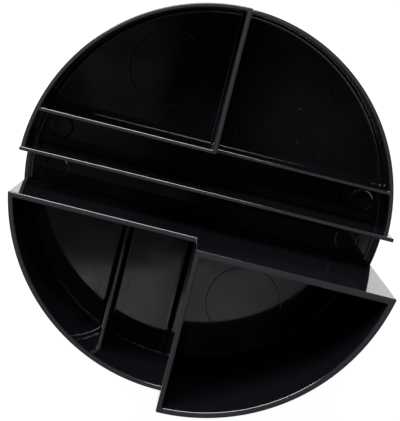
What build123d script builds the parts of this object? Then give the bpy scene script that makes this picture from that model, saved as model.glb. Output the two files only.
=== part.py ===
# Round stepped desk organiser with seven compartments, moulded in black plastic.
# Units are millimetres. +Z is up, the low front is towards -Y and the tall pen well is at the rear left.
# The origin is the centre of the resting plane.
import os

from build123d import *

# Body
outer_radius = 72.5
foot_height = 0.8
foot_outer_radius = 71.3
foot_width = 3.4
floor_thickness = 1.7
floor_edge_round = 0.6
floor_top = foot_height + floor_thickness

# Heights above the resting plane
front_right_height = 36.5
front_left_height = 24.5
sill_height = 9.5
middle_height = 40.0
rear_right_height = 55.0
rear_divider_height = 42.0
pen_well_height = 85.0

# Wall thicknesses
front_rim = 1.7
sill = 1.7
rear_right_rim = 1.85
pen_well_rim = 2.15
front_cross = 1.55
middle_cross = 1.5
rear_right_cross = 2.0
pen_well_cross = 2.3
pen_well_side = 1.8
front_divider_width = 1.8
rear_divider_width = 1.45
rim_round = 0.4

# Front faces of the three cross walls
front_cross_y = -17.65
middle_cross_y = -1.9
rear_cross_y = 13.45

# Left faces of the walls that run from front to rear
front_divider_x = 0.2
pen_well_side_x = -1.5
rear_divider_x = 24.85

# Ejector pin marks in the floor
mark_depth = 0.1
large_mark_radius = 15.2
small_mark_radius = 5.0
large_marks = [(26.2, -42.6), (-26.2, -42.6), (-26.2, 42.6)]
small_marks = [(62.0, -9.9), (-62.0, -9.9), (60.3, 7.25), (-60.3, 7.25)]

# Rear faces of the cross walls and right faces of the dividers
front_cross_back = front_cross_y + front_cross
middle_cross_back = middle_cross_y + middle_cross
rear_right_cross_back = rear_cross_y + rear_right_cross
pen_well_cross_back = rear_cross_y + pen_well_cross
front_divider_right = front_divider_x + front_divider_width
pen_well_side_right = pen_well_side_x + pen_well_side


def clip(x_range, y_range):
    """Keeps the part of the sketch between two X and two Y values."""
    x_low, x_high = x_range
    y_low, y_high = y_range
    with Locations(((x_low + x_high) / 2, (y_low + y_high) / 2)):
        Rectangle(x_high - x_low, y_high - y_low, mode=Mode.INTERSECT)


def curved_wall(thickness, height, x_range, y_range):
    """A stretch of the round outer wall, with its two long top edges rounded."""
    with BuildPart() as wall:
        with BuildSketch(Plane.XY.offset(floor_top)):
            Circle(outer_radius)
            Circle(outer_radius - thickness, mode=Mode.SUBTRACT)
            clip(x_range, y_range)
        extrude(amount=height - floor_top)
        top = wall.faces().sort_by(Axis.Z)[-1]
        fillet(top.edges().filter_by(GeomType.CIRCLE), rim_round)
    return wall.part


def flat_wall(end_radius, height, x_range, y_range, along):
    """A straight wall inside a circle, with its two long top edges rounded."""
    with BuildPart() as wall:
        with BuildSketch(Plane.XY.offset(floor_top)):
            Circle(end_radius)
            clip(x_range, y_range)
        extrude(amount=height - floor_top)
        top = wall.faces().sort_by(Axis.Z)[-1]
        fillet(top.edges().filter_by(along), rim_round)
    return wall.part


def save(piece, name):
    piece.label = name
    export_step(piece, f"parts/{name}.step")


os.makedirs("parts", exist_ok=True)

# Base: a round floor on a narrow foot ring
with BuildPart() as foot_ring:
    with BuildSketch():
        Circle(foot_outer_radius)
        Circle(foot_outer_radius - foot_width, mode=Mode.SUBTRACT)
    extrude(amount=foot_height)
save(foot_ring.part, "foot_ring")

with BuildPart() as base_floor:
    with BuildSketch(Plane.XY.offset(foot_height)):
        Circle(outer_radius)
    extrude(amount=floor_thickness)
    fillet(base_floor.faces().sort_by(Axis.Z)[0].edges(), floor_edge_round)
    with BuildSketch(Plane.XY.offset(floor_top)):
        with Locations(*large_marks):
            Circle(large_mark_radius)
        with Locations(*small_marks):
            Circle(small_mark_radius)
    extrude(amount=-mark_depth, mode=Mode.SUBTRACT)
save(base_floor.part, "base_floor")

# Round outer wall, stepped in height from the front to the pen well
left, right = -outer_radius, outer_radius
front, rear = -outer_radius, outer_radius
save(
    curved_wall(front_rim, front_right_height, (front_divider_x, right), (front, front_cross_back)),
    "front_right_outer_wall",
)
save(
    curved_wall(front_rim, front_left_height, (left, front_divider_x), (front, front_cross_back)),
    "front_left_outer_wall",
)
save(
    curved_wall(front_rim, front_right_height, (0, right), (front_cross_back, middle_cross_y)),
    "pencil_tray_right_end",
)
save(
    curved_wall(front_rim, front_left_height, (left, 0), (front_cross_back, middle_cross_y)),
    "pencil_tray_left_end",
)
save(
    curved_wall(sill, sill_height, (0, right), (middle_cross_back, rear_cross_y)),
    "letter_slot_right_sill",
)
save(
    curved_wall(sill, sill_height, (left, 0), (middle_cross_back, rear_cross_y)),
    "letter_slot_left_sill",
)
save(
    curved_wall(
        rear_right_rim, rear_right_height, (pen_well_side_right, right), (rear_right_cross_back, rear)
    ),
    "rear_right_outer_wall",
)
save(
    curved_wall(pen_well_rim, pen_well_height, (left, pen_well_side_right), (pen_well_cross_back, rear)),
    "pen_well_outer_wall",
)

# Walls across the organiser
inside_front = outer_radius - front_rim
save(
    flat_wall(
        inside_front,
        front_right_height,
        (front_divider_right, right),
        (front_cross_y, front_cross_back),
        Axis.X,
    ),
    "front_right_cross_wall",
)
save(
    flat_wall(
        inside_front,
        front_left_height,
        (left, front_divider_x),
        (front_cross_y, front_cross_back),
        Axis.X,
    ),
    "front_left_cross_wall",
)
save(
    flat_wall(outer_radius, middle_height, (left, right), (middle_cross_y, middle_cross_back), Axis.X),
    "middle_cross_wall",
)
save(
    flat_wall(
        outer_radius,
        rear_right_height,
        (pen_well_side_right, right),
        (rear_cross_y, rear_right_cross_back),
        Axis.X,
    ),
    "rear_right_cross_wall",
)
save(
    flat_wall(
        outer_radius,
        pen_well_height,
        (left, pen_well_side_right),
        (rear_cross_y, pen_well_cross_back),
        Axis.X,
    ),
    "pen_well_cross_wall",
)

# Dividers that run from front to rear
save(
    flat_wall(
        inside_front,
        front_right_height,
        (front_divider_x, front_divider_right),
        (front, front_cross_back),
        Axis.Y,
    ),
    "front_divider",
)
save(
    flat_wall(
        outer_radius - rear_right_rim,
        rear_divider_height,
        (rear_divider_x, rear_divider_x + rear_divider_width),
        (rear_right_cross_back, rear),
        Axis.Y,
    ),
    "rear_divider",
)
save(
    flat_wall(
        outer_radius - pen_well_rim,
        pen_well_height,
        (pen_well_side_x, pen_well_side_right),
        (pen_well_cross_back, rear),
        Axis.Y,
    ),
    "pen_well_side_wall",
)
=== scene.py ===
import math

import bpy
import numpy as np
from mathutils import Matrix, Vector
from mathutils.geometry import delaunay_2d_cdt


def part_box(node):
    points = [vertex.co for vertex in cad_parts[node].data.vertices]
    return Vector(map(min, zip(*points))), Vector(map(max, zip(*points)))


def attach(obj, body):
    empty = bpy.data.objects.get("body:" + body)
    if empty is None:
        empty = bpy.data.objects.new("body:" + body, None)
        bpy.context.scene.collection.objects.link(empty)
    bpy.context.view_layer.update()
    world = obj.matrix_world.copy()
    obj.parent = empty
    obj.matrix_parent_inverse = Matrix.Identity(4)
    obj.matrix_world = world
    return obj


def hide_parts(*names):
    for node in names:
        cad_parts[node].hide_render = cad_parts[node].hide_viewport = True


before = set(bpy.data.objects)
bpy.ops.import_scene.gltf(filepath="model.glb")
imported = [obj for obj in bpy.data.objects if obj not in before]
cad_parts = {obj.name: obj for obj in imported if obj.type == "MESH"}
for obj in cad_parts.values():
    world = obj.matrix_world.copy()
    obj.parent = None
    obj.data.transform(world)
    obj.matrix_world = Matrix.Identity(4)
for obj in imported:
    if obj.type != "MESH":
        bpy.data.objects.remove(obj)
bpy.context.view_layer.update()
mm = 0.001

print("reading the plan from the frame")
outerRadius = (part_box("base_floor")[1].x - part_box("base_floor")[0].x) / 2
underside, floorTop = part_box("base_floor")[0].z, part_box("base_floor")[1].z
dividerLeft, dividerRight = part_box("front_divider")[0].x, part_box("front_divider")[1].x
frontNear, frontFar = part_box("front_right_cross_wall")[0].y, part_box("front_right_cross_wall")[1].y
middleNear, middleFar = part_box("middle_cross_wall")[0].y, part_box("middle_cross_wall")[1].y
rearNear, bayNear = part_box("rear_right_cross_wall")[0].y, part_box("rear_right_cross_wall")[1].y
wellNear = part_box("pen_well_cross_wall")[1].y
wellLeft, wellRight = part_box("pen_well_side_wall")[0].x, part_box("pen_well_side_wall")[1].x
bayLeft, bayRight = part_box("rear_divider")[0].x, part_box("rear_divider")[1].x
# inner radii of the round wall, from a corner of a piece that ends on it
frontInner = math.hypot(dividerLeft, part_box("front_divider")[0].y)
sillInner = math.hypot(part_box("letter_slot_right_sill")[0].x, rearNear)
rearInner = math.hypot(bayLeft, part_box("rear_divider")[1].y)
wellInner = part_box("pen_well_side_wall")[1].y

moulding = {
    "rimRound": 0.4 * mm,  # round of the long top edges
    "cornerRound": 0.5 * mm,  # upright outside corners
    "innerCorner": 0.45 * mm,  # upright corners inside the compartments
    "cove": 1.1 * mm,  # hollow round between a wall and the floor
    "roundSteps": 6,
    "cornerSteps": 17,
    "coveSteps": 10,
    "support": 0.15 * mm,  # narrow strip beside a round, which keeps the flat beyond it flat
    "climbSteps": 5,
    "ringStep": math.radians(0.1),
    "wallStep": 0.7 * mm,
    "endZone": 1.8 * mm,  # closely divided stretch at both ends of a wall
    "endStep": 0.07 * mm,
    "endShare": 0.4,  # of the length of a short wall, which the stretch takes at most
    "openSteps": 9,  # stations on the round of a free end
    "openClear": 1.15,  # the usual stations go on from this many times that round
    "fewestSteps": 4,
    "fewestRingSteps": 3,
    "tuck": 0.5 * mm,  # how far a wall's end goes into the wall that it meets
    "ringTuck": 0.6 * mm,
    "sink": 0.02 * mm,  # a wall that meets a rim of its own height stays this much lower
    "sharp": math.radians(40),  # faces that meet at more than this have a hard edge
}


def roundCentre(edgeA, edgeB, radius):
    # centre of the round that touches both edges: a radius beside a straight edge, a radius inside a ring
    known, ring = {}, None
    for kind, value, side in (edgeA, edgeB):
        if kind == "ring":
            ring = (value - radius, side)
        else:
            known[kind] = value + side * radius
    for missing, other, place in (("x", "y", 0), ("y", "x", 1)):
        if missing not in known:
            known[missing] = ring[1][place] * math.sqrt(ring[0] ** 2 - known[other] ** 2)
    return np.array([known["x"], known["y"]])


def touchAngle(edge, centre):
    # direction from the centre of a round to the edge that it touches
    kind, _, side = edge
    if kind == "ring":
        return math.atan2(centre[1], centre[0])
    return math.atan2(0, -side) if kind == "x" else math.atan2(-side, 0)


def arc(centre, radius, start, end, steps, out):
    # centre + radius * (cos, sin), the shorter way from start to end; out is -1 where the plastic is hollow
    turn = (end - start + math.pi) % (2 * math.pi) - math.pi
    angle = start + turn * np.linspace(0, 1, steps)
    way = np.stack([np.cos(angle), np.sin(angle)], 1)
    return centre + radius * way, out * way


def corner(edgeA, edgeB, radius, out):
    centre = roundCentre(edgeA, edgeB, radius)
    ends = touchAngle(edgeA, centre), touchAngle(edgeB, centre)
    return arc(centre, radius, *ends, moulding["cornerSteps"], out)


def room(edges):
    # the corners of a compartment, counter-clockwise; corner k lies between edge k and the next one
    return [corner(a, b, moulding["innerCorner"], -1) for a, b in zip(edges, edges[1:] + edges[:1])]


def back(run):
    return run[0][::-1], run[1][::-1]


def firstHalf(run):
    middle = len(run[0]) // 2 + 1
    return run[0][:middle], run[1][:middle]


def lastHalf(run):
    middle = len(run[0]) // 2
    return run[0][middle:], run[1][middle:]


def joined(*runs):
    return np.concatenate([r[0] for r in runs]), np.concatenate([r[1] for r in runs])


def angleOf(run, index):
    return math.atan2(run[0][index][1], run[0][index][0])


def angleWhere(radius, side, x=None, y=None):
    # angle of the place on a ring with this x, above or below the axis, or with this y, right or left of it
    if y is None:
        return math.atan2(side * math.sqrt(radius**2 - x**2), x)
    return math.atan2(y, side * math.sqrt(radius**2 - y**2))


def ringRun(radius, start, end, out=1):
    turn = abs((end - start + math.pi) % (2 * math.pi) - math.pi)
    steps = max(moulding["fewestRingSteps"], int(turn / moulding["ringStep"]))
    return arc(np.zeros(2), radius, start, end, steps, out)


def place(x, y, outX, outY):
    return np.array([[x, y]]), np.array([[outX, outY]], float)


print("setting out the compartments")
edges = {
    "front_right_dish": (("x", dividerRight, 1), ("ring", frontInner, (1, -1)), ("y", frontNear, -1)),
    "front_left_dish": (("ring", frontInner, (-1, -1)), ("x", dividerLeft, -1), ("y", frontNear, -1)),
    "pencil_tray": (("y", frontFar, 1), ("ring", frontInner, (1, 0)), ("y", middleNear, -1),
                    ("ring", frontInner, (-1, 0))),
    "letter_slot": (("y", middleFar, 1), ("ring", sillInner, (1, 0)), ("y", rearNear, -1),
                    ("ring", sillInner, (-1, 0))),
    "middle_bay": (("y", bayNear, 1), ("x", bayLeft, -1), ("ring", rearInner, (1, 1)), ("x", wellRight, 1)),
    "right_bay": (("y", bayNear, 1), ("ring", rearInner, (1, 1)), ("x", bayRight, 1)),
    "pen_well": (("y", wellNear, 1), ("x", wellLeft, -1), ("ring", wellInner, (-1, 1))),
}
corners = {name: room(sides) for name, sides in edges.items()}
dishRight, dishLeft = corners["front_right_dish"], corners["front_left_dish"]
tray, slot, well = corners["pencil_tray"], corners["letter_slot"], corners["pen_well"]
bayMiddle, bayFar = corners["middle_bay"], corners["right_bay"]

rounding = moulding["cornerRound"]
dividerTip = corner(("x", dividerLeft, 1), ("ring", outerRadius, (1, -1)), rounding, 1)
dividerKnee = corner(("x", dividerLeft, 1), ("y", frontFar, -1), rounding, 1)
rearRightTip = corner(("y", rearNear, 1), ("ring", outerRadius, (1, 1)), rounding, 1)
rearLeftTip = corner(("ring", outerRadius, (-1, 1)), ("y", rearNear, 1), rounding, 1)
wellKnee = corner(("y", rearNear, 1), ("x", wellRight, -1), rounding, 1)
wellTip = corner(("x", wellRight, -1), ("ring", outerRadius, (1, 1)), rounding, 1)

plastic = {
    "wallColour": (0.0032, 0.003, 0.0044, 1),  # the haze of fine scratches and dust lifts the black a little
    "shadedWallColour": (0.0007, 0.0007, 0.0009, 1),  # painted shade: a darker haze colour for the two front cross walls, which stand in the shade of the walls in front of them
    "floorColour": (0.0015, 0.0014, 0.0019, 1),
    "wornColour": (0.009, 0.0096, 0.0122, 1),
    "refraction": 1.59,
    "polished": 0.045,  # roughness of a clean polished face
    "smudged": 0.12,  # roughness where it has been handled
    "mattRoughness": 0.37,
    "waves": 55,  # slow unevenness of the mould, per metre, and its height in walls and floors
    "wallWaves": 0.012 * mm,
    "floorWaves": 0.02 * mm,
    "ripples": (260, 0.0016 * mm),  # per metre, and their height
    "grain": (5200, 0.006 * mm),  # of the matt lands
    "wear": {"scale": 900, "between": (0.3, 0.7), "least": 0.65},
    "drawMarks": {"across": 900, "along": 14, "height": 0.0008 * mm},  # left by pulling walls from the mould
}
smudges = {"scale": 38, "between": (0.46, 0.72)}
fingerMarks = {"scale": 120, "between": (0.5, 0.75), "turn": 0.6, "stretch": 2.4, "least": 0.45}
hairlines = {
    "stretch": (2600, 42, 900),
    "layers": ((0.35, 0.73), (-0.9, 0.74), (1.9, 0.745)),  # direction, and the least noise of a scratch
    "edge": 0.03,
    "patchScale": 60,  # the scratches come in patches
    "patches": (0.52, 0.66),
    "depth": 0.004 * mm,
    "roughness": 0.12,
    "wear": 0.35,
}
dustSpecks = {
    "scale": 420,
    "chosen": (0.955, 0.96),  # only cells with a random value above this hold a speck
    "reach": (0.09, 0.05),
    "roughness": 0.7,
    "colour": (0.045, 0.044, 0.042, 1),
}


class NodeBench:
    # short calls that add one node to a material or a world and link its inputs
    def __init__(self, owner):
        owner.use_nodes = True
        self.tree = owner.node_tree

    def add(self, kind, settings=None, **inputs):
        node = self.tree.nodes.new("ShaderNode" + kind)
        for key, value in (settings or {}).items():
            setattr(node, key, value)
        for key, value in inputs.items():
            self.feed(node, key.replace("_", " "), value)
        return node

    def feed(self, node, key, value):
        socket = node.inputs[int(key[1:])] if key[1:].isdigit() else node.inputs[key]
        if isinstance(value, bpy.types.NodeSocket):
            self.tree.links.new(value, socket)
        else:
            socket.default_value = value

    def calc(self, operation, first, second=0.0):
        return self.add("Math", {"operation": operation}, i0=first, i1=second).outputs[0]

    def ramp(self, value, low, high, first=0.0, last=1.0):
        limits = {"From_Min": low, "From_Max": high, "To_Min": first, "To_Max": last}
        return self.add("MapRange", {"clamp": True}, Value=value, **limits).outputs[0]

    def smooth(self, value, low, high):
        limits = {"From_Min": low, "From_Max": high}
        return self.add("MapRange", {"interpolation_type": "SMOOTHSTEP"}, Value=value, **limits).outputs[0]

    def noise(self, where, scale, detail, roughness=0.5):
        node = self.add("TexNoise", Vector=where, Scale=scale, Detail=detail, Roughness=roughness)
        return node.outputs[0]

    def turned(self, where, angle, stretch):
        return self.add("Mapping", Vector=where, Rotation=angle, Scale=stretch).outputs[0]


def scratchMask(bench, spot):
    # thin lines of stretched noise in a few directions, each kept to its own patches
    found = None
    for angle, threshold in hairlines["layers"]:
        stretched = bench.turned(spot, (0, 0, angle), hairlines["stretch"])
        lines = bench.noise(stretched, 1, detail=1, roughness=0.4)
        lines = bench.ramp(lines, threshold, threshold + hairlines["edge"])
        swung = bench.turned(spot, (0, 0, angle + 1), (1, 1, 1))
        patch = bench.noise(swung, hairlines["patchScale"], detail=1)
        layer = bench.calc("MULTIPLY", lines, bench.ramp(patch, *hairlines["patches"]))
        found = layer if found is None else bench.calc("MAXIMUM", found, layer)
    return found


def dustMask(bench, spot):
    # a round speck in the middle of a few of the cells
    cells = bench.add("TexVoronoi", {"feature": "F1"}, Vector=spot, Scale=dustSpecks["scale"])
    lot = bench.add("SeparateColor", Color=cells.outputs["Color"]).outputs[0]
    speck = bench.ramp(cells.outputs["Distance"], *dustSpecks["reach"])
    return bench.calc("MULTIPLY", speck, bench.ramp(lot, *dustSpecks["chosen"]))


def handledMask(bench, spot):
    # soft smudges with the streaks of fingers in them
    streaks = bench.turned(spot, (0, 0, fingerMarks["turn"]), (1, fingerMarks["stretch"], 1))
    fingers = bench.noise(streaks, fingerMarks["scale"], detail=3, roughness=0.55)
    fingers = bench.ramp(fingers, *fingerMarks["between"])
    smudge = bench.ramp(bench.noise(spot, smudges["scale"], detail=4, roughness=0.6), *smudges["between"])
    return bench.calc("MULTIPLY", smudge, bench.ramp(fingers, 0, 1, fingerMarks["least"], 1.0))


def unevenness(bench, spot, matt, scratches, waves, streaked):
    # the sum of the surface's fine heights, in millimetres
    layers = [(bench.noise(spot, plastic["waves"], detail=1), waves)]
    layers.append((bench.noise(spot, plastic["ripples"][0], detail=2), plastic["ripples"][1]))
    grain = bench.calc("MULTIPLY", bench.noise(spot, plastic["grain"][0], detail=2), matt)
    layers.append((grain, plastic["grain"][1]))
    layers.append((bench.calc("MULTIPLY", scratches, -1.0), hairlines["depth"]))
    if streaked:
        marks = plastic["drawMarks"]
        stretched = bench.turned(spot, (0, 0, 0), (marks["across"], marks["across"], marks["along"]))
        layers.append((bench.noise(stretched, 1, detail=3, roughness=0.65), marks["height"]))
    height = None
    for pattern, size in layers:
        scaled = bench.calc("MULTIPLY", pattern, size / mm)
        height = scaled if height is None else bench.calc("ADD", height, scaled)
    return height


def glossBlack(name, colour, waves, streaked):
    # black polystyrene: mirror-like with slow waves, smudges, hairline scratches and specks of dust; the
    # "matt" attribute turns the cut and worn lands of the rims into a greyer, grainy surface
    material = bpy.data.materials.new(name)
    bench = NodeBench(material)
    shader = bench.tree.nodes["Principled BSDF"]
    spot = bench.add("TexCoord").outputs["Object"]
    matt = bench.add("Attribute", {"attribute_name": "matt"}).outputs["Fac"]
    scratches, dust = scratchMask(bench, spot), dustMask(bench, spot)

    gloss = bench.ramp(handledMask(bench, spot), 0, 1, plastic["polished"], plastic["smudged"])
    gloss = bench.calc("ADD", gloss, bench.calc("MULTIPLY", scratches, hairlines["roughness"]))
    gloss = bench.add("Mix", i0=matt, i2=gloss, i3=plastic["mattRoughness"]).outputs[0]
    gloss = bench.calc("MAXIMUM", gloss, bench.calc("MULTIPLY", dust, dustSpecks["roughness"]))
    bench.feed(shader, "Roughness", gloss)

    wear = plastic["wear"]
    rubbed = bench.noise(spot, wear["scale"], detail=3, roughness=0.6)
    rubbed = bench.ramp(rubbed, *wear["between"], wear["least"], 1.0)
    worn = bench.calc("MULTIPLY", matt, rubbed)
    worn = bench.calc("MAXIMUM", worn, bench.calc("MULTIPLY", scratches, hairlines["wear"]))
    tone = bench.add("Mix", {"data_type": "RGBA"}, i0=worn, i6=colour, i7=plastic["wornColour"]).outputs[2]
    tone = bench.add("Mix", {"data_type": "RGBA"}, i0=dust, i6=tone, i7=dustSpecks["colour"]).outputs[2]
    bench.feed(shader, "Base Color", tone)

    height = unevenness(bench, spot, matt, scratches, waves, streaked)
    bump = bench.add("Bump", Height=height, Distance=mm, Strength=1.0)
    bench.feed(shader, "Normal", bump.outputs[0])
    shader.inputs["IOR"].default_value = plastic["refraction"]
    return material


wallPlastic = glossBlack("gloss_black_walls", plastic["wallColour"], plastic["wallWaves"], True)
# a darker copy of the wall material, painted shade for the two front cross walls
shadedWallPlastic = glossBlack("gloss_black_painted_shade", plastic["shadedWallColour"], plastic["wallWaves"], True)
floorPlastic = glossBlack("gloss_black_floors", plastic["floorColour"], plastic["floorWaves"], False)


def finishedMesh(name, vertices, faces, material, matt, *nodes):
    # puts the arrays into a mesh, turned outwards; "matt" is 1 where the plastic wasn't polished or is worn
    volume = sum((np.cross(vertices[f][1:-1], vertices[f][2:]) @ vertices[f][0]).sum() for f in faces)
    if volume < 0:
        faces = [face[::-1] for face in faces]
    mesh = bpy.data.meshes.new(name)
    mesh.from_pydata(vertices.tolist(), [], faces)
    mesh.update()
    mesh.attributes.new("matt", "FLOAT", "POINT").data.foreach_set("value", np.asarray(matt, np.float32))
    mesh.polygons.foreach_set("use_smooth", np.ones(len(mesh.polygons), bool))
    mesh.set_sharp_from_angle(angle=moulding["sharp"])
    mesh.materials.append(material)
    piece = bpy.data.objects.new(name, mesh)
    bpy.context.scene.collection.objects.link(piece)
    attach(piece, "root")
    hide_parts(*nodes)


def gridFaces(rows, columns, closed=False):
    # quads of a grid of vertices numbered row by row; every row is a ring, and closed joins the last row on
    r, c = np.meshgrid(np.arange(rows if closed else rows - 1), np.arange(columns), indexing="ij")
    nextRow, beside = (r + 1) % rows, (c + 1) % columns
    quads = (r * columns + c, nextRow * columns + c, nextRow * columns + beside, r * columns + beside)
    return np.stack(quads, -1).reshape(-1, 4).tolist()


def spaced(run, shares):
    # the run's points and outward directions at given shares of its length
    points, ways = run
    along = np.concatenate([[0], np.cumsum(np.linalg.norm(np.diff(points, axis=0), axis=1))])
    at = np.stack([np.interp(shares * along[-1], along, points[:, k]) for k in (0, 1)], 1)
    way = np.stack([np.interp(shares * along[-1], along, ways[:, k]) for k in (0, 1)], 1)
    return at, way / np.linalg.norm(way, axis=1)[:, None], along[-1]


def wallBand(node, sideA, sideB, starts=None, ends=None, openEnds=False, bow=0.0, sink=0.0, crisp=1,
             material=wallPlastic):
    # a wall between two faces seen from above: at every station the section climbs face A, goes round the
    # rim's quarter circle (1 - cos, sin), across the flat land and down face B. starts and ends are steps,
    # for face A and face B, to one more station that is hidden inside the neighbouring wall; crisp is the
    # share of the usual rim round
    edge, low, height = moulding["rimRound"] * crisp, floorTop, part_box(node)[1].z - sink
    length = max(spaced(side, np.zeros(1))[2] for side in (sideA, sideB))
    zone = min(moulding["endZone"], length * moulding["endShare"])
    near = np.linspace(0, zone, int(zone / moulding["endStep"]) + 1)
    if openEnds:
        turn = np.linspace(0, math.pi / 2, moulding["openSteps"])
        near = np.concatenate([edge * (1 - np.cos(turn)), near[near > edge * moulding["openClear"]]])
    between = max(moulding["fewestSteps"], int((length - 2 * zone) / moulding["wallStep"]))
    along = np.concatenate([near, np.linspace(zone, length - zone, between)[1:-1], (length - near)[::-1]])
    (a, aOut, _), (b, bOut, _) = spaced(sideA, along / length), spaced(sideB, along / length)
    drop = np.zeros(len(along))  # an open end's own round lowers and narrows the section
    if openEnds:
        gap = np.clip(edge - np.minimum(along, length - along), 0, edge)
        drop = edge - np.sqrt(edge**2 - gap**2)
    for steps, end, order in ((starts, 0, -1), (ends, -1, 1)):
        if steps is not None:
            a = np.vstack([a, a[end] + steps[0]][::order])
            b = np.vstack([b, b[end] + steps[1]][::order])
            aOut, bOut = np.vstack([aOut, aOut[end]][::order]), np.vstack([bOut, bOut[end]][::order])
            drop = np.hstack([drop, drop[end]][::order])

    theta = np.linspace(0, math.pi / 2, moulding["roundSteps"] + 1)
    climb = np.linspace(low, height - edge - moulding["support"], moulding["climbSteps"])
    sideways, upwards = [np.append(np.zeros(len(climb)), wave) for wave in (1 - np.cos(theta), np.sin(theta))]
    stem = np.append(climb, np.full(len(theta), height - edge))
    inset = drop[:, None] + (edge - drop[:, None]) * sideways
    level = stem + (edge - drop[:, None]) * upwards
    faceA = a[:, None] - aOut[:, None] * inset[..., None]
    faceB = b[:, None] - bOut[:, None] * inset[..., None]
    land = (faceA[:, -1:] + faceB[:, -1:]) / 2
    plan = np.concatenate([faceA, land, faceB[:, ::-1]], 1)
    up = np.concatenate([level, level[:, -1:], level[:, ::-1]], 1)
    vertices = np.concatenate([plan, up[..., None]], 2)
    share = (vertices[..., 2] - low) / (height - low)
    vertices[..., 1] -= bow * share**2 * (1 - (vertices[..., 0] / outerRadius) ** 2)
    rows, columns = vertices.shape[:2]
    matt = np.zeros((rows, columns))
    matt[:, len(stem) - 1 : len(stem) + 2] = 1  # the land
    faces = gridFaces(rows, columns)
    faces += [list(range(columns)), list(range((rows - 1) * columns, rows * columns))[::-1]]
    finishedMesh(node + "_moulding", vertices.reshape(-1, 3), faces, material, matt.ravel(), node)


def stepBy(x, y):
    return np.array([x, y]) * moulding["tuck"]


def intoRing(run):
    # step away from the axis at the end of a run
    return run[0][-1] / np.linalg.norm(run[0][-1]) * moulding["ringTuck"]


print("forming the front walls")
lapIn = 0.4 * mm  # a low wall's face goes on this far past a higher wall's rounded corner
seamY = (frontNear + frontFar) / 2
seam = {(radius, side): angleWhere(radius, side, y=seamY)
        for radius in (outerRadius, frontInner) for side in (1, -1)}

wallBand("front_right_outer_wall",
         joined(lastHalf(dividerTip), ringRun(outerRadius, angleOf(dividerTip, -1), seam[outerRadius, 1])),
         joined(lastHalf(dishRight[0]),
                ringRun(frontInner, angleOf(dishRight[0], -1), seam[frontInner, 1], -1)))
wallBand("pencil_tray_right_end",
         ringRun(outerRadius, seam[outerRadius, 1], angleWhere(outerRadius, 1, y=middleNear + lapIn)),
         joined(ringRun(frontInner, seam[frontInner, 1], angleOf(tray[1], 0), -1), tray[1]),
         ends=(stepBy(0, 1), stepBy(0, 1)))
wallBand("front_left_outer_wall",
         ringRun(outerRadius, angleWhere(outerRadius, -1, x=dividerLeft + lapIn), seam[outerRadius, -1]),
         joined(back(dishLeft[0]), ringRun(frontInner, angleOf(dishLeft[0], 0), seam[frontInner, -1], -1)),
         starts=(stepBy(0, 1), stepBy(1, 0)))
wallBand("pencil_tray_left_end",
         ringRun(outerRadius, seam[outerRadius, -1], angleWhere(outerRadius, -1, y=middleNear + lapIn)),
         joined(ringRun(frontInner, seam[frontInner, -1], angleOf(tray[2], -1), -1), back(tray[2])),
         ends=(stepBy(0, 1), stepBy(0, 1)))
wallBand("front_divider",
         joined(back(firstHalf(dividerTip)), firstHalf(dividerKnee)),
         joined(back(firstHalf(dishRight[0])), back(lastHalf(dishRight[2]))))
# both front cross walls take the darker wall material: painted shade
wallBand("front_right_cross_wall",
         joined(lastHalf(dividerKnee), tray[0]),
         joined(back(firstHalf(dishRight[2])), back(dishRight[1])),
         ends=(intoRing(tray[0]), intoRing(back(dishRight[1]))), sink=moulding["sink"],
         material=shadedWallPlastic)
wallBand("front_left_cross_wall",
         joined(place(dividerLeft + lapIn, frontFar, 0, 1), back(tray[3])),
         joined(dishLeft[1], dishLeft[2]),
         starts=(stepBy(0, -1), stepBy(1, 0)), ends=(intoRing(back(tray[3])), intoRing(dishLeft[2])),
         sink=moulding["sink"], material=shadedWallPlastic)

print("forming the middle wall and the sills")
middleWall = {"bow": 0.35 * mm}  # the long free wall leans forward a little at the middle of its rim
chord = [math.sqrt(outerRadius**2 - y**2) for y in (middleNear, middleFar)]
wallBand("middle_cross_wall",
         joined(place(-chord[0], middleNear, 0, -1), place(chord[0], middleNear, 0, -1)),
         joined(place(-chord[1], middleFar, 0, 1), place(chord[1], middleFar, 0, 1)),
         openEnds=True, bow=middleWall["bow"])
sillEnds = middleFar - lapIn, rearNear + rounding
wallBand("letter_slot_right_sill",
         ringRun(outerRadius, *[angleWhere(outerRadius, 1, y=y) for y in sillEnds]),
         joined(slot[0], ringRun(sillInner, angleOf(slot[0], -1), angleOf(slot[1], 0), -1), slot[1]),
         starts=(stepBy(0, -1), stepBy(0, -1)), ends=(stepBy(0, 1), stepBy(0, 1)))
wallBand("letter_slot_left_sill",
         ringRun(outerRadius, *[angleWhere(outerRadius, -1, y=y) for y in sillEnds]),
         joined(back(slot[3]), ringRun(sillInner, angleOf(slot[3], 0), angleOf(slot[2], -1), -1),
                back(slot[2])),
         starts=(stepBy(0, -1), stepBy(0, -1)), ends=(stepBy(0, 1), stepBy(0, 1)))

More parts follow.
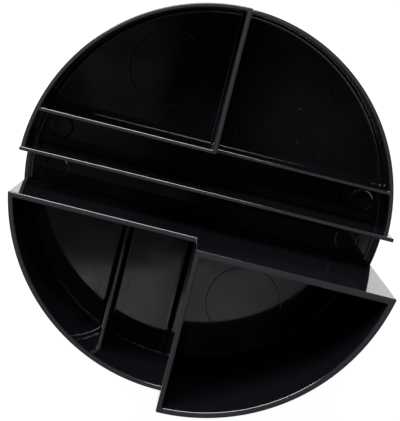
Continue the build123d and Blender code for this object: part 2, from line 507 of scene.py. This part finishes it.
print("forming the rear walls")
wallBand("rear_right_cross_wall",
         joined(place(wellRight - lapIn, rearNear, 0, -1), firstHalf(rearRightTip)),
         joined(bayMiddle[3], firstHalf(bayFar[0])),
         starts=(stepBy(0, 1), stepBy(-1, 0)))
wallBand("rear_right_outer_wall",
         joined(lastHalf(rearRightTip),
                ringRun(outerRadius, angleOf(rearRightTip, -1),
                        angleWhere(outerRadius, 1, x=wellRight - lapIn))),
         joined(lastHalf(bayFar[0]),
                ringRun(rearInner, angleOf(bayFar[0], -1), angleOf(bayMiddle[2], 0), -1), bayMiddle[2]),
         ends=(stepBy(0, -1), stepBy(-1, 0)))
wallBand("rear_divider",
         joined(back(bayFar[2]), back(bayFar[1])),
         joined(bayMiddle[0], bayMiddle[1]),
         starts=(stepBy(0, -1), stepBy(0, -1)), ends=(intoRing(back(bayFar[1])), intoRing(bayMiddle[1])))
wallBand("pen_well_outer_wall",
         joined(lastHalf(wellTip), ringRun(outerRadius, angleOf(wellTip, -1), angleOf(rearLeftTip, 0)),
                firstHalf(rearLeftTip)),
         joined(lastHalf(well[1]), ringRun(wellInner, angleOf(well[1], -1), angleOf(well[2], 0), -1),
                firstHalf(well[2])))
wallBand("pen_well_cross_wall",
         joined(lastHalf(rearLeftTip), firstHalf(wellKnee)),
         joined(lastHalf(well[2]), firstHalf(well[0])), crisp=0.35)
wallBand("pen_well_side_wall",
         joined(lastHalf(wellKnee), firstHalf(wellTip)),
         joined(lastHalf(well[0]), firstHalf(well[1])))

floors = {
    "lap": 0.25 * mm,  # the pan's lip and underside reach this far under the walls
    "under": 0.45 * mm,
    "sharpest": 0.12 * mm,
    "straightStep": 2.5 * mm,
    "ringStep": math.radians(0.8),
    "largeMark": {"depth": 0.012 * mm, "groove": 0.026 * mm, "width": 0.3 * mm},
    "smallMark": {"depth": 0.16 * mm, "groove": 0.07 * mm, "width": 0.9 * mm},
    "smallest": 10 * mm,  # radius from which an ejector pin mark is a large one
    "grooveSteps": 12,
    "coveMatt": 0.1,
    # how many times wider than high the cove is along each edge of a room
    "coveWidths": {"front_right_dish": (1, 1, 0.15), "front_left_dish": (1, 1, 0.15),
                   "pencil_tray": (1, 1, 0.3, 1), "letter_slot": (1, 1, 0.3, 1),
                   "middle_bay": (1, 1, 0.15, 1.1), "right_bay": (1, 0.4, 2.6), "pen_well": (1, 1, 1.5)},
    "dish": 0.57 * mm,  # the floor rises this much from the middle to the rim, as mouldings warp
    "gridStep": 4 * mm,  # between the flat's inner points, which stay this clear of its outlines
    "gridClear": 1 * mm,
    "flatStrip": 0.08 * mm,  # narrow flat strip beside the cove
    "markReach": 0.09 * mm,  # a mark's slope starts this far outside its radius
    "markStrip": 0.1 * mm,
    "markSegments": 96,
    "merge": 1e-6,  # millimetres
}
insideOnly = 1  # the triangulation's own code for leaving out what is outside its fences
pinMarks = {  # centre and radius of the ejector pin marks in each floor
    "front_right_dish": [(26.2 * mm, -42.6 * mm, 15.2 * mm)],
    "front_left_dish": [(-26.2 * mm, -42.6 * mm, 15.2 * mm)],
    "pen_well": [(-26.2 * mm, 42.6 * mm, 15.2 * mm)],
    "pencil_tray": [(62 * mm, -9.65 * mm, 4.75 * mm), (-62 * mm, -9.65 * mm, 4.75 * mm)],
    "letter_slot": [(60.3 * mm, 7.0 * mm, 4.75 * mm), (-60.3 * mm, 7.0 * mm, 4.75 * mm)],
}


def outline(name, moved):
    # the compartment's whole outline, counter-clockwise, moved into the room; past the corner's own radius
    # the corner stays nearly sharp. Every outline of a room has the same number of points
    steps = [moved * width if moved > 0 else moved for width in floors["coveWidths"][name]]
    sides = [(kind, value - step if kind == "ring" else value + side * step, side)
             for (kind, value, side), step in zip(edges[name], steps)]
    radius = max(moulding["innerCorner"] - moved, floors["sharpest"])
    turns = [corner(a, b, radius, -1) for a, b in zip(sides, sides[1:] + sides[:1])]
    runs = []
    for index, (points, _) in enumerate(turns):
        following = (index + 1) % len(turns)
        first, last = points[-1], turns[following][0][0]
        length = np.linalg.norm(corners[name][following][0][0] - corners[name][index][0][-1])
        if sides[following][0] == "ring":
            count = int(length / outerRadius / floors["ringStep"]) + 2
            start, end = math.atan2(first[1], first[0]), math.atan2(last[1], last[0])
            stretch = arc(np.zeros(2), sides[following][1], start, end, count, -1)[0]
        else:
            count = int(length / floors["straightStep"]) + 2
            stretch = first + (last - first) * np.linspace(0, 1, count)[:, None]
        runs += [points, stretch[1:-1]]
    return np.concatenate(runs)


def warp(x, y):
    # the floor's height off flat: a shallow dish, dish * (r^2 / R^2 - 1/2)
    return floors["dish"] * ((x**2 + y**2) / outerRadius**2 - 0.5)


def clearOf(point, fence, marks):
    # whether a point, in millimetres, is well inside a convex outline and outside the pin marks
    clear = floors["gridClear"] / mm
    along = np.roll(fence, -1, 0) - fence
    beside = along[:, 0] * (point[1] - fence[:, 1]) - along[:, 1] * (point[0] - fence[:, 0])
    inside = (beside / np.linalg.norm(along, axis=1)).min() > clear
    return inside and all(math.hypot(point[0] - x / mm, point[1] - y / mm) > r / mm + clear
                          for x, y, r in marks)


def floorPan(name):
    # rows of the outline moved into the room by a distance, at a height: under the wall, up its lip, down the
    # hollow quarter circle (1 - cos, 1 - sin), then the flat, where each pin mark is rings of a smooth step
    cove, lap = moulding["cove"], floors["lap"]
    theta = np.linspace(0, math.pi / 2, moulding["coveSteps"] + 1)
    moved = np.concatenate([[-lap, -lap], cove * (1 - np.cos(theta)), [cove + floors["flatStrip"]]])
    level = np.concatenate([[floorTop - floors["under"], floorTop + cove],
                            floorTop + cove * (1 - np.sin(theta)), [floorTop]])
    plan = np.stack([outline(name, distance) for distance in moved])
    rows, columns = plan.shape[:2]
    heights = np.broadcast_to(level[:, None, None], (rows, columns, 1))
    vertices = [np.concatenate([plan, heights], 2).reshape(-1, 3)]
    faces = gridFaces(rows, columns) + [list(range(columns))[::-1]]
    rims, total = [np.arange((rows - 1) * columns, rows * columns)], rows * columns
    turn = np.linspace(0, 2 * math.pi, floors["markSegments"], endpoint=False)
    for x, y, radius in pinMarks.get(name, []):
        mark = floors["largeMark"] if radius > floors["smallest"] else floors["smallMark"]
        share, outermost = np.linspace(0, 1, floors["grooveSteps"] + 1), radius + floors["markReach"]
        innermost, strip = outermost - mark["width"], floors["markStrip"]
        radii = np.concatenate([[outermost + strip], outermost - mark["width"] * share, [innermost - strip]])
        sunk = np.concatenate([[0], (1 - np.cos(share * math.pi)) / 2, [1]]) * mark["depth"]
        sunk[1:-1] += mark["groove"] * np.sin(share * math.pi) ** 2
        ring = np.stack([x + radii[:, None] * np.cos(turn), y + radii[:, None] * np.sin(turn),
                         np.repeat(floorTop - sunk[:, None], len(turn), 1)], -1)
        faces += [[v + total for v in face[::-1]] for face in gridFaces(len(radii), len(turn))]
        inner = total + (len(radii) - 1) * len(turn)
        faces.append(list(range(inner, inner + len(turn))))
        rims.append(np.arange(total, total + len(turn)))
        vertices.append(ring.reshape(-1, 3))
        total += ring.shape[0] * ring.shape[1]
    vertices = np.concatenate(vertices)
    # the flat between the cove and the marks, as triangles between those outlines
    loops = np.concatenate(rims)
    spots = vertices[loops, :2] / mm
    starts = np.cumsum([0] + [len(rim) for rim in rims])
    fences = [(a + k, a + (k + 1) % (b - a)) for a, b in zip(starts[:-1], starts[1:]) for k in range(b - a)]
    ticks = np.arange(-outerRadius, outerRadius, floors["gridStep"]) / mm
    grid = np.stack(np.meshgrid(ticks, ticks), -1).reshape(-1, 2)
    grid = grid[[clearOf(point, spots[starts[0]:starts[1]], pinMarks.get(name, [])) for point in grid]]
    spots, loops = np.vstack([spots, grid]), np.append(loops, total + np.arange(len(grid)))
    vertices = np.vstack([vertices, np.column_stack([grid * mm, np.full(len(grid), floorTop)])])
    made = delaunay_2d_cdt([Vector(p) for p in spots.tolist()], fences, [], insideOnly, floors["merge"])
    # a triangle with all its corners on one mark's rim lies inside the mark, and is left out
    owner = np.concatenate([np.full(len(rim), k) for k, rim in enumerate(rims)] + [np.zeros(len(grid), int)])
    outside = [face for face in made[2] if owner[face[0]] == 0 or len(set(owner[face])) > 1]
    faces += [[int(loops[v]) for v in face] for face in outside]
    vertices[:, 2] += warp(vertices[:, 0], vertices[:, 1])
    matt = np.zeros(len(vertices))
    matt[2 * columns : (rows - 3) * columns] = floors["coveMatt"]
    return vertices, faces, matt


print("laying the floors")
for name in edges:
    panVertices, panFaces, panMatt = floorPan(name)
    finishedMesh(name + "_floor", panVertices, panFaces, floorPlastic, panMatt, "base_floor")

base = {
    "edgeRound": 0.6 * mm,
    "footRound": 0.35 * mm,
    "segments": 288,
    "rebate": 0.9 * mm,  # the top inside this edge lies lower, under the floors
    "coreTop": 2.15 * mm,
    "gateRadius": 4 * mm,  # shallow dimple with the gate's stub under the middle
    "gateSlope": 0.6 * mm,
    "gateDepth": 0.3 * mm,
    "stubRadius": 0.9 * mm,
    "stubSlope": 0.1 * mm,
    "stubLength": 0.2 * mm,
    "rings": 6,
    "support": 0.15 * mm,
    "footWidth": 3.4 * mm,
    "footLap": 0.1 * mm,  # the foot goes this far into the base
    "discMatt": 0.55,
    "footMatt": 0.8,
    "quarterSteps": 7,
}


def turned(name, profile, closed, matt, *nodes):
    # the profile's (radius, height) points turned about the upright axis: (r cos, r sin, z); a profile that
    # isn't closed starts and ends on the axis, and each end is a fan about one point
    radii, heights = np.array(profile).T
    turn = np.linspace(0, 2 * math.pi, base["segments"], endpoint=False)
    body = slice(None) if closed else slice(1, -1)
    r, z = radii[body, None], np.repeat(heights[body, None], len(turn), 1)
    vertices = np.stack([r * np.cos(turn), r * np.sin(turn), z], -1).reshape(-1, 3)
    rows, columns = len(r), len(turn)
    faces = gridFaces(rows, columns, closed)
    if not closed:
        low, high = rows * columns, rows * columns + 1
        last = (rows - 1) * columns
        faces += [[low, c, (c + 1) % columns] for c in range(columns)]
        faces += [[high, last + (c + 1) % columns, last + c] for c in range(columns)]
        vertices = np.vstack([vertices, [0, 0, heights[0]], [0, 0, heights[-1]]])
    finishedMesh(name, vertices, faces, wallPlastic, np.full(len(vertices), matt), *nodes)


def quarter(r, z, radius, start):
    # quarter circle in a profile, from the angle start on, counter-clockwise
    angle = np.radians(start + np.linspace(0, 90, base["quarterSteps"]))
    return list(zip(r + radius * np.cos(angle), z + radius * np.sin(angle)))


print("turning the base and its foot")
edgeRound, gateTop = base["edgeRound"], underside + base["gateDepth"]
discProfile = [(0, gateTop - base["stubLength"]), (base["stubRadius"], gateTop - base["stubLength"]),
               (base["stubRadius"] + base["stubSlope"], gateTop),
               (base["gateRadius"] - base["gateSlope"], gateTop), (base["gateRadius"], underside)]
flat = np.linspace(base["gateRadius"] + mm, outerRadius - edgeRound - mm, base["rings"])
discProfile += [(r, underside) for r in flat]
discProfile += quarter(outerRadius - edgeRound, underside + edgeRound, edgeRound, -90)
discProfile += [(outerRadius, underside + edgeRound + base["support"]), (outerRadius, floorTop),
                (outerRadius - base["rebate"], floorTop), (outerRadius - base["rebate"], base["coreTop"]),
                (0, base["coreTop"])]
turned("base_disc", discProfile, False, base["discMatt"], "base_floor")

footLow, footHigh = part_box("foot_ring")[0].z, underside + base["footLap"]
footOuter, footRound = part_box("foot_ring")[1].x, base["footRound"]
footInner = footOuter - base["footWidth"]
footProfile = quarter(footInner + footRound, footLow + footRound, footRound, 180)
footProfile += quarter(footOuter - footRound, footLow + footRound, footRound, -90)
footProfile += [(footOuter, footHigh), (footInner, footHigh)]
turned("foot_ring_moulding", footProfile, True, base["footMatt"], "foot_ring")

print("lighting the table")
table = {"half": 3.0, "colour": (0.1, 0.1, 0.1, 1), "roughness": 0.9, "ownLight": 0.97,
         "lightColour": (1, 1, 1, 1)}
sky = {
    "horizon": (0.8, 0.8, 0.8, 1),
    "walls": (0.35, 0.35, 0.36, 1),
    "ceiling": (0.006, 0.006, 0.0066, 1),
    "horizonFade": (0.12, 0.3),  # sines of the heights between which one turns into the next
    "ceilingFade": (0.62, 0.86),
    "lampFade": (0.3, 0.5),  # the ceiling's bright areas end between these heights
    "lampTint": 1.06,  # of their blue
    "lowest": 0.01,  # height that the division by a direction's upward part stops at
}
# soft bright areas of the ceiling, in degrees from overhead: from, to and width of the fade across and along,
# how bright they are and how uneven
ceilingLights = [
    {"across": (-4.6, -1.0, 2.4, 0.5), "along": (8.85, 16, 0.4, 2), "brightness": 0.48, "clouds": 0.2},
    {"across": (-1.0, 9, 0.5, 2), "along": (8.85, 16, 0.4, 2), "brightness": 0.62, "clouds": 0.3},
    {"across": (1.35, 2.1, 0.3, 0.3), "along": (8.95, 16, 0.3, 2), "brightness": 0.25, "clouds": 0.5},
    {"across": (-14, -4.6, 4, 2.4), "along": (8.85, 16, 0.5, 2), "brightness": 0.25, "clouds": 0.2},
    {"across": (-12, -7, 1.5, 1.5), "along": (8.2, 10.4, 0.5, 0.5), "brightness": 0.3, "clouds": 0.3},
    {"across": (-1, 9, 1, 2), "along": (6.5, 8.85, 2, 0.4), "brightness": 0.08, "clouds": 0.8},
    {"across": (0.6, 7, 1, 1), "along": (0.4, 6.4, 1.2, 1.0), "brightness": 0.07, "clouds": 1.0},
    {"across": (0.5, 8, 1.5, 2), "along": (-13, -4.5, 2, 1.0), "brightness": 0.04, "clouds": 1.0},
    {"across": (-12, -2.5, 3, 2), "along": (-6, 5.5, 3, 2), "brightness": 0.035, "clouds": 0.4},
]
# features per unit of direction, and how far they swing the brightness either side of their middle
clouds = {"scale": 34, "middle": 0.5, "spread": 4}
slant = 0.32  # how far the lights' near and far edges are turned away from square
keyLight = {"turn": -24, "elevation": 39, "distance": 2.0, "aim": (0, 0, 0.03),
            "size": (1.6, 0.9), "radiance": 26}

tableMaterial = bpy.data.materials.new("pale_table")
tableMaterial.use_nodes = True
tableShader = tableMaterial.node_tree.nodes["Principled BSDF"]
tableShader.inputs["Base Color"].default_value = table["colour"]
tableShader.inputs["Roughness"].default_value = table["roughness"]
tableShader.inputs["Emission Color"].default_value = table["lightColour"]
tableShader.inputs["Emission Strength"].default_value = table["ownLight"]
sheet = bpy.data.meshes.new("table_top")
half = table["half"]
tableCorners = [(-half, -half, 0), (half, -half, 0), (half, half, 0), (-half, half, 0)]
sheet.from_pydata(tableCorners, [], [(0, 1, 2, 3)])
sheet.materials.append(tableMaterial)
tableTop = bpy.data.objects.new("table_top", sheet)
bpy.context.scene.collection.objects.link(tableTop)

world = bpy.data.worlds.new("studio")
bpy.context.scene.world = world
studio = NodeBench(world)
direction = studio.add("TexCoord").outputs["Generated"]
across, along, height = studio.add("SeparateXYZ", i0=direction).outputs
walls, roof = studio.smooth(height, *sky["horizonFade"]), studio.smooth(height, *sky["ceilingFade"])
light = studio.add("Mix", {"data_type": "RGBA"}, i0=walls, i6=sky["horizon"], i7=sky["walls"]).outputs[2]
light = studio.add("Mix", {"data_type": "RGBA"}, i0=roof, i6=light, i7=sky["ceiling"]).outputs[2]
# a direction's degrees from overhead are nearly its sideways part divided by its upward part and by a degree
upward = studio.calc("MULTIPLY", studio.calc("MAXIMUM", height, sky["lowest"]), math.pi / 180)
across, along = studio.calc("DIVIDE", across, upward), studio.calc("DIVIDE", along, upward)
square = studio.calc("SUBTRACT", along, studio.calc("MULTIPLY", across, slant))
uneven = studio.calc("SUBTRACT", studio.noise(direction, clouds["scale"], detail=2), clouds["middle"])
glow = None
for lamp in ceilingLights:
    swing = studio.calc("MULTIPLY", uneven, lamp["clouds"] * clouds["spread"] * lamp["brightness"])
    patch = studio.calc("MAXIMUM", studio.calc("ADD", swing, lamp["brightness"]), 0.0)
    for value, (start, end, fadeIn, fadeOut) in ((across, lamp["across"]), (square, lamp["along"])):
        patch = studio.calc("MULTIPLY", patch, studio.smooth(value, start - fadeIn / 2, start + fadeIn / 2))
        patch = studio.calc("MULTIPLY", patch, studio.smooth(value, end + fadeOut / 2, end - fadeOut / 2))
    glow = patch if glow is None else studio.calc("ADD", glow, patch)
glow = studio.calc("MULTIPLY", glow, studio.ramp(height, *sky["lampFade"]))
blue = studio.calc("MULTIPLY", glow, sky["lampTint"])
tinted = studio.add("CombineColor", i0=glow, i1=glow, i2=blue).outputs[0]
lit = studio.add("Mix", {"data_type": "RGBA", "blend_type": "ADD"}, i0=1.0, i6=light, i7=tinted).outputs[2]
studio.feed(studio.tree.nodes["Background"], "Color", lit)


def lightPanel(name, centre, aim, size, radiance):
    # rectangular light whose surface has this radiance: power = radiance * pi * area
    lamp = bpy.data.lights.new(name, "AREA")
    lamp.shape = "RECTANGLE"
    lamp.size, lamp.size_y = size
    lamp.energy = radiance * math.pi * size[0] * size[1]
    panel = bpy.data.objects.new(name, lamp)
    panel.location = centre
    panel.rotation_euler = (Vector(aim) - Vector(centre)).to_track_quat("-Z", "Y").to_euler()
    bpy.context.scene.collection.objects.link(panel)


turn, rise = math.radians(keyLight["turn"]), math.radians(keyLight["elevation"])
towards = Vector((-math.sin(turn) * math.cos(rise), -math.cos(turn) * math.cos(rise), math.sin(rise)))
lightPanel("key_softbox", towards * keyLight["distance"], keyLight["aim"], keyLight["size"],
           keyLight["radiance"])

print("placing the camera")
viewpoint = {
    "location": (15.004 * mm, -55.404 * mm, 545.013 * mm),
    "turn": (-7.034, 0.144, -165.953),
    "lens": 115.804,
    "sensor": 36,
    "clip": (0.01, 20),
}
camera = bpy.data.objects.new("viewpoint", bpy.data.cameras.new("viewpoint"))
camera.location = viewpoint["location"]
camera.rotation_euler = [math.radians(angle) for angle in viewpoint["turn"]]
camera.data.lens = viewpoint["lens"]
camera.data.sensor_width = viewpoint["sensor"]
camera.data.clip_start, camera.data.clip_end = viewpoint["clip"]
bpy.context.scene.collection.objects.link(camera)
bpy.context.scene.camera = camera
bpy.context.scene.view_settings.view_transform = "Standard"
